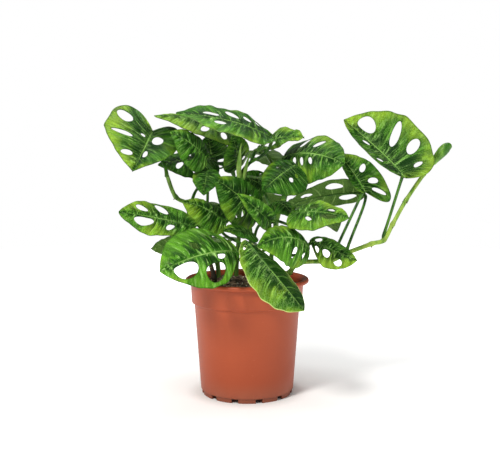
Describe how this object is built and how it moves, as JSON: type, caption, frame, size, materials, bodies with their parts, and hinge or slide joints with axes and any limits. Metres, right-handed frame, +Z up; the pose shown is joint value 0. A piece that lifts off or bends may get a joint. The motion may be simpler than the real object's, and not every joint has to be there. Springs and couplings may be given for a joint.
{
  "type": "potted monstera adansonii",
  "caption": "Swiss cheese vine with holed, waved leaves on arching stems, rooted in soil in a round terracotta-coloured nursery pot with a wide collar and notched foot",
  "frame": {"origin": "centre of the underside of the pot's centre foot, on the ground plane", "axes": "+Z up, the side seen in the picture faces -Y, the long runner reaches towards +X"},
  "size_m": [0.4131, 0.2607, 0.3535],
  "materials": {
    "terracotta_plastic": "matte",
    "potting_soil": "matte",
    "vine_green": "satin",
    "old_stem": "matte",
    "leaf_green": "satin",
    "leaf_deep_green": "satin",
    "leaf_fresh_green": "satin"
  },
  "bodies": {
    "root": {"pot": "terracotta_plastic", "soil": "potting_soil", "vine_right": "vine_green", "vine_left": "vine_green", "vine_back": "vine_green", "vine_mid": "vine_green", "vine_crown": "vine_green", "vine_front": "vine_green", "vine_stub": "old_stem", "leaf_far_left": "leaf_green", "leaf_top": "leaf_green", "leaf_under_top": "leaf_green", "leaf_crest": "leaf_green", "leaf_shoulder": "leaf_green", "leaf_inner_right": "leaf_deep_green", "leaf_right_lobe": "leaf_green", "leaf_right_under": "leaf_green", "leaf_right_mid": "leaf_fresh_green", "leaf_right_low": "leaf_green", "leaf_far_right": "leaf_green", "leaf_left_mid": "leaf_fresh_green", "leaf_left_under": "leaf_green", "leaf_front_left": "leaf_fresh_green", "leaf_front": "leaf_green", "leaf_round": "leaf_fresh_green", "leaf_pointed": "leaf_green", "leaf_middle": "leaf_green", "leaf_drop": "leaf_deep_green", "leaf_left_shade": "leaf_deep_green", "leaf_back_fan": "leaf_deep_green", "leaf_inner_top": "leaf_green", "leaf_left_inner": "leaf_green", "leaf_left_fold": "leaf_fresh_green", "leaf_shadow": "leaf_deep_green", "leaf_arch": "leaf_deep_green", "leaf_rear_left": "leaf_green", "leaf_rear": "leaf_green", "leaf_rear_right": "leaf_fresh_green", "leaf_rear_low": "leaf_deep_green", "leaf_rear_top": "leaf_fresh_green", "leaf_core": "leaf_deep_green"}
  },
  "joints": []
}
